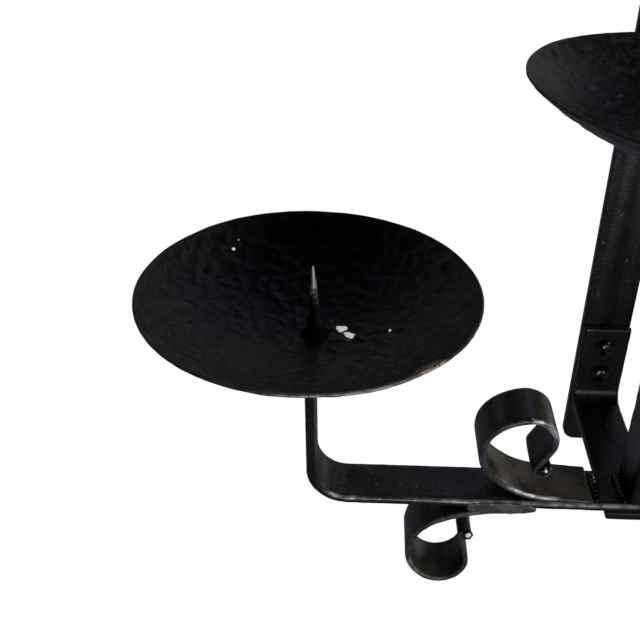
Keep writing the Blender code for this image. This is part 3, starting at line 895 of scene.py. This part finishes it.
def build_bead(node, finish, size, place, seed, ripple=BEAD_RIPPLE, square=1.0, rub_and_highlight=0.0):
    """A run of weld metal, size (length, width, height): an egg on its flat side, along its own Y."""
    length, width, height = size
    rings = []
    steps = max(18, int(length / BEAD_STEP))
    for i in range(steps + 1):
        angle = math.pi * i / steps
        along = -math.cos(angle) * length / 2
        swell = max(math.sin(angle), 0.02) ** 0.62
        if ripple:
            swell *= 1 + 0.09 * math.cos(2 * math.pi * along / ripple)
        ring = []
        for turn in circle(BEAD_SIDES):
            x = squared(math.cos(turn), square) * width / 2 * swell
            z = squared(math.sin(turn), square) * height * swell
            if z < 0:
                z *= BEAD_BELOW
            ring.append((x, along + 0.25 * MM * math.cos(2 * turn), z))
        rings.append(ring)
    mesh = grid_mesh(node + "_bead", rings)
    co, normals = vertex_arrays(mesh)
    above = np.minimum(1, co[:, 2] / MM + 0.6).clip(0)
    lump = fractal(co, 2.6 * MM, seed, 2) * 0.28 * MM * above
    mesh.vertices.foreach_set("co", (co + normals * lump[:, None]).ravel())
    mesh.transform(place)
    mesh.update()
    upward = vertex_arrays(mesh)[1][:, 2]
    # Painted light: the bead's faces get light rubbed steel the more they face up, a painted highlight
    # along its top.
    put_attribute(mesh, "rub_and_highlight", rub_and_highlight * smooth(-0.7, 0.6, upward))
    put_attribute(mesh, "tone", np.full(len(co), 0.35 * (rub_and_highlight > 0)))
    add_piece(node + "_bead", mesh, finish, "weld_paint", node)


def turned(degrees, axis):
    return Matrix.Rotation(math.radians(degrees), 4, axis)


def build_welds(finish, seam_finish):
    """A bead in place of each weld node, growing out of the metal that the node sits on."""
    for seed, node in enumerate(sorted(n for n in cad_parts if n.endswith("_weld"))):
        if node.endswith("spike_weld"):
            continue
        low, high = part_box(node)
        centre = (low + high) / 2
        span = high - low
        if node.endswith("lower_scroll_weld"):
            outboard = math.copysign(1.0 * MM, centre.x)
            start = (centre.x + outboard, high.y + BEAD_SUNK, centre.z + 0.5 * MM)
            place = Matrix.Translation(start) @ turned(90, "X") @ turned(90, "Z")
            size = (span.x * 1.30, span.z * 1.22, span.y * 0.6)
            build_bead(node, seam_finish, size, place, seed, ripple=0.0, square=0.45, rub_and_highlight=0.30)
        elif "_pan_" in node:
            outer = centre.x < middle(node.split("_pan_")[0] + "_spike").x
            start = high.x + BEAD_SUNK if outer else low.x - BEAD_SUNK
            place = Matrix.Translation((start, centre.y, centre.z + 0.6 * MM))
            place = place @ turned(-90 if outer else 90, "Y")
            build_bead(node, finish, (span.y, span.z, span.x), place, seed)
        else:
            below = "bracket" in node
            start = high.z + BEAD_SUNK if below else low.z - BEAD_SUNK
            place = Matrix.Translation((centre.x, centre.y, start)) @ turned(180 if below else 0, "Y")
            build_bead(node, finish, (span.y, span.x * 1.2, span.z), place, seed)


RIVET_HEAD = 2.5 * MM
RIVET_PROFILE = (
    (0.25, 0.0), (0.55, 0.10), (0.80, 0.35), (0.95, 0.68), (1.0, 0.90), (0.99, 1.0), (0.55, 1.02),
)
RIVET_SHANK = 0.55


def build_rivets(finish):
    """A hammered head on a shank that runs through to the wall bar's back."""
    for seed, node in enumerate(("lower_rivet", "upper_rivet")):
        low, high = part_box(node)
        centre = (low + high) / 2
        head = (high.x - low.x) / 2
        seat = low.y + RIVET_HEAD + BEAD_SUNK
        profile = [(radius, low.y + depth * (seat - low.y)) for radius, depth in RIVET_PROFILE]
        profile.append((RIVET_SHANK, high.y))
        rings = [
            [(centre.x + head * r * math.cos(a), y, centre.z + head * r * math.sin(a)) for a in circle(40)]
            for r, y in profile
        ]
        mesh = grid_mesh(node, rings)
        co, normals = vertex_arrays(mesh)
        on_head = smooth(seat, seat - 0.8 * MM, co[:, 1])
        hammered = fractal(co, 2.4 * MM, seed, 2) * 0.16 * MM * on_head
        move_vertices(mesh, co + normals * hammered[:, None])
        add_piece(node + "_head", mesh, finish, "weld_paint", node)


# ---------------------------------------------------------------- wall bar

WALL_BAR_CORNER = 6 * MM
WALL_BAR_EDGE = 0.6 * MM
SCREW_HOLE_IN = 12 * MM
SCREW_HOLE_RADIUS = 2.75 * MM
RIVET_HOLE_RADIUS = 2.8 * MM


def wall_bar_outlines():
    """The plate's outline and its four holes, each a closed line of (x, z) about its middle."""
    low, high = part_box("wall_bar")
    centre = (low + high) / 2
    half_width = (high.x - low.x) / 2
    half_height = (high.z - low.z) / 2
    outline = []
    for quarter, (sx, sz) in enumerate(((1, 1), (-1, 1), (-1, -1), (1, -1))):
        for i in range(9):
            a = math.radians(90 * (quarter + i / 8))
            x = sx * (half_width - WALL_BAR_CORNER) + WALL_BAR_CORNER * math.cos(a)
            z = sz * (half_height - WALL_BAR_CORNER) + WALL_BAR_CORNER * math.sin(a)
            outline.append((x, z))
    holes = [(end * (half_height - SCREW_HOLE_IN), SCREW_HOLE_RADIUS) for end in (-1, 1)]
    holes += [(middle(n).z - centre.z, RIVET_HOLE_RADIUS) for n in ("lower_rivet", "upper_rivet")]
    return [outline] + [
        [(radius * math.cos(a), height + radius * math.sin(a)) for a in circle(32)]
        for height, radius in holes
    ]


def build_wall_bar(finish):
    """The plate with its holes: a filled outline with rounded edges."""
    low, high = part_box("wall_bar")
    centre = (low + high) / 2
    curve = bpy.data.curves.new("wall_bar_outline", "CURVE")
    curve.dimensions = "2D"
    curve.fill_mode = "BOTH"
    curve.extrude = (high.y - low.y) / 2 - WALL_BAR_EDGE
    curve.bevel_depth = WALL_BAR_EDGE
    curve.bevel_resolution = 2
    curve.offset = -WALL_BAR_EDGE
    for points in wall_bar_outlines():
        spline = curve.splines.new("POLY")
        spline.points.add(len(points) - 1)
        for point, (x, z) in zip(spline.points, points):
            point.co = (x, z, 0.0, 1.0)
        spline.use_cyclic_u = True
    carrier = bpy.data.objects.new("wall_bar_carrier", curve)
    bpy.context.scene.collection.objects.link(carrier)
    bpy.context.view_layer.update()
    evaluated = carrier.evaluated_get(bpy.context.evaluated_depsgraph_get())
    mesh = bpy.data.meshes.new_from_object(evaluated)
    bpy.data.objects.remove(carrier)
    shape = bmesh.new()
    shape.from_mesh(mesh)
    bmesh.ops.remove_doubles(shape, verts=shape.verts, dist=0.01 * MM)
    bmesh.ops.recalc_face_normals(shape, faces=shape.faces)
    shape.to_mesh(mesh)
    shape.free()
    mesh.transform(Matrix.Translation(centre) @ turned(90, "X"))
    mesh.shade_smooth()
    mesh.set_sharp_from_angle(angle=math.radians(40))
    co, _ = vertex_arrays(mesh)
    nowhere = np.zeros(len(co))
    put_attribute(mesh, "edge", nowhere + 0.3)
    put_attribute(mesh, "along", co[:, 2])
    put_attribute(mesh, "across", co[:, 0])
    put_attribute(mesh, "tone", nowhere)
    put_attribute(mesh, "dust", nowhere)
    add_piece("wall_bar_surface", mesh, finish, "bar_paint", "wall_bar")


# ---------------------------------------------------------------- wax

# Flakes of wax on the left pan, in millimetres from its middle.
WAX_CRUMBS = (
    {"at": (12.6, 2.9), "length": 1.9, "width": 1.9, "turn": 35, "corners": 3},
    {"at": (16.6, -2.6), "length": 2.6, "width": 1.7, "turn": -28, "corners": 2},
    {"at": (-34.0, 40.6), "length": 0.6, "width": 0.8, "turn": 0, "corners": 2},
    {"at": (31.1, -2.6), "length": 0.45, "width": 0.45, "turn": 0, "corners": 3},
    {"at": (-32.4, 45.4), "length": 0.2, "width": 0.25, "turn": 0, "corners": 3},
)
# A flake's outline swells and draws in again on its way up: (height in mm, swell).
CRUMB_PROFILE = ((-0.25, 1.0), (0.22, 1.06), (0.42, 0.86), (0.50, 0.40))


def build_wax(place, finish):
    """Wax crumbs lying on the hollow of the pan at this place, flat with ragged edges."""
    for number, crumb in enumerate(WAX_CRUMBS):
        x, y = (value * MM for value in crumb["at"])
        z = PAN_SPHERE - math.sqrt(PAN_SPHERE ** 2 - x * x - y * y)
        turn = math.radians(crumb["turn"])
        cos, sin = math.cos(turn), math.sin(turn)
        rings = []
        for height, swell in CRUMB_PROFILE:
            ring = []
            for a in circle(40):
                spot = Vector((math.cos(a) * 2.2, math.sin(a) * 2.2, number * 4.0 + height * 0.6))
                lobes = 0.20 * math.cos(crumb["corners"] * a + 0.6)
                reach = swell * (1 + lobes + 0.34 * noise.noise(spot))
                u = crumb["length"] * MM * reach * math.cos(a)
                v = crumb["width"] * MM * reach * math.sin(a)
                ring.append((x + u * cos - v * sin, y + u * sin + v * cos, z + height * MM))
            rings.append(ring)
        mesh = grid_mesh(f"wax_crumb_{number}", rings)
        mesh.transform(place)
        add_piece(f"wax_crumb_{number}", mesh, finish, "pan_paint")


# ---------------------------------------------------------------- light, floor and camera

FLOOR_DROP = 0.45
FLOOR_LIGHT = (0.121, 0.126, 0.156, 1)

# Lamps round the sconce: bearing from straight behind it towards its right, height, watts, tint.
COOL = (0.91, 0.94, 1.0)
NEUTRAL = (1.0, 1.0, 1.0)
WARM = (1.0, 0.92, 0.74)
BLUE = (0.76, 0.79, 1.0)
DEEP_BLUE = (0.62, 0.60, 1.0)
LAMPS = {
    "front_window": (180, 3, 9.6, BLUE),
    "front_right_window": (150, 3, 5.1, WARM),
    "right_softbox": (120, 33, 7.7, WARM),
    "right_window": (60, 3, 4.9, WARM),
    "right_back": (60, 18, 1.2, DEEP_BLUE),
    "back": (0, 18, 0.40, NEUTRAL),
    "back_high": (15, 33, 0.62, DEEP_BLUE),
    "back_right": (30, 18, 0.33, NEUTRAL),
    "left_back": (330, 18, 0.36, COOL),
    "left": (300, 3, 0.38, WARM),
    "left_high": (300, 33, 0.62, DEEP_BLUE),
}
LAMP_WIDTH = 0.45
LAMP_DISTANCE = 1.6

# The camera as fitted to the picture: degrees down, tilted and round, and mm from the middle of the
# left rim, which the pan's lean shifts.
CAMERA_PITCH = 33.337
CAMERA_ROLL = -0.571
CAMERA_AZIMUTH = 3.402
CAMERA_FROM_RIM = (21.05, -282.9, 172.24)
RIM_SHIFT = 0.26 * MM


def build_world():
    """White behind the sconce; no light of its own, so the lamps alone shape the black paint."""
    world = bpy.data.worlds.new("studio")
    bpy.context.scene.world = world
    world.use_nodes = True
    tree = world.node_tree
    tree.nodes.clear()
    out = tree.nodes.new("ShaderNodeOutputWorld")
    shown = tree.nodes.new("ShaderNodeBackground")
    shown.inputs["Color"].default_value = (1, 1, 1, 1)
    path = tree.nodes.new("ShaderNodeLightPath")
    tree.links.new(path.outputs["Is Camera Ray"], shown.inputs["Strength"])
    tree.links.new(shown.outputs[0], out.inputs["Surface"])


def build_floor():
    """Paper far below: white to the camera, and a dim even glow on the sconce from underneath."""
    mesh = bpy.data.meshes.new("floor")
    shape = bmesh.new()
    bmesh.ops.create_grid(shape, x_segments=2, y_segments=2, size=30.0)
    shape.to_mesh(mesh)
    shape.free()
    floor = bpy.data.objects.new("floor", mesh)
    floor.location = (0, 0, cad_box[0][2] - FLOOR_DROP)
    bpy.context.scene.collection.objects.link(floor)
    material = bpy.data.materials.new("floor_paper")
    material.use_nodes = True
    tree = material.node_tree
    tree.nodes.clear()
    out = tree.nodes.new("ShaderNodeOutputMaterial")
    choose = tree.nodes.new("ShaderNodeMixShader")
    path = tree.nodes.new("ShaderNodeLightPath")
    shown = tree.nodes.new("ShaderNodeEmission")
    lit = tree.nodes.new("ShaderNodeEmission")
    lit.inputs["Color"].default_value = FLOOR_LIGHT
    tree.links.new(path.outputs["Is Camera Ray"], choose.inputs["Fac"])
    tree.links.new(lit.outputs[0], choose.inputs[1])
    tree.links.new(shown.outputs[0], choose.inputs[2])
    tree.links.new(choose.outputs[0], out.inputs["Surface"])
    mesh.materials.append(material)


def build_lights():
    target = middle("left_pan").lerp(middle("left_upper_scroll"), 0.3)
    for name, (bearing, height, power, tint) in LAMPS.items():
        data = bpy.data.lights.new(name, "AREA")
        data.shape = "DISK"
        data.size = LAMP_WIDTH
        data.energy = power
        data.color = tint
        lamp = bpy.data.objects.new(name, data)
        bpy.context.scene.collection.objects.link(lamp)
        turn, rise = math.radians(bearing), math.radians(height)
        out = math.cos(rise)
        direction = Vector((math.sin(turn) * out, math.cos(turn) * out, math.sin(rise)))
        lamp.location = target + direction * LAMP_DISTANCE
        lamp.rotation_euler = (-direction).to_track_quat("-Z", "Y").to_euler()


def build_camera():
    """Above the left pan and in front of it, looking down on it as the picture does."""
    spike = middle("left_spike")
    rim_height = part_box("left_spike")[0].z + PAN_SHEET + PAN_FOOT_GAP + PAN_DEPTH
    rim = Vector((spike.x + PAN_OFFSET["left"] + RIM_SHIFT, spike.y, rim_height))
    pitch, roll, azimuth = map(math.radians, (CAMERA_PITCH, CAMERA_ROLL, CAMERA_AZIMUTH))
    out = math.cos(pitch)
    forward = Vector((-math.sin(azimuth) * out, math.cos(azimuth) * out, -math.sin(pitch)))
    level = Vector((math.cos(azimuth), math.sin(azimuth), 0.0))
    up = level.cross(forward)
    right = level * math.cos(roll) + up * math.sin(roll)
    top = up * math.cos(roll) - level * math.sin(roll)
    data = bpy.data.cameras.new("camera")
    data.sensor_width = 36.0
    data.lens = 50.0
    data.clip_start = 0.01
    data.clip_end = 100.0
    camera = bpy.data.objects.new("camera", data)
    bpy.context.scene.collection.objects.link(camera)
    turn = Matrix((right, top, -forward)).transposed().to_4x4()
    camera.matrix_world = Matrix.Translation(rim + Vector(CAMERA_FROM_RIM) * MM) @ turn
    bpy.context.scene.camera = camera


# ---------------------------------------------------------------- the whole

bar_paint = bar_finish()
pan_paint = pan_finish()
weld_paint = weld_finish()
scorched = scorched_finish()
spike_steel = spike_finish()
wax = wax_finish()

build_camera()
build_bars(bar_paint)
build_wall_bar(bar_paint)
for index, side_name in enumerate(("left", "right")):
    build_scroll(side_name, "upper", bar_paint, weld_paint, 10 + index)
    build_scroll(side_name, "lower", bar_paint, weld_paint, 20 + index)
for index, side_name in enumerate(("left", "centre", "right")):
    pan_hollow, pan_place = build_pan(side_name, pan_paint, 40 + index)
    build_spike(side_name, pan_hollow, spike_steel, 50 + index)
    build_spike_weld(side_name, pan_hollow, scorched, 60 + index)
    if side_name == "left":
        build_wax(pan_place, wax)
build_welds(weld_paint, bar_paint)
build_rivets(weld_paint)
build_world()
build_floor()
build_lights()
bpy.context.scene.view_settings.view_transform = "Standard"
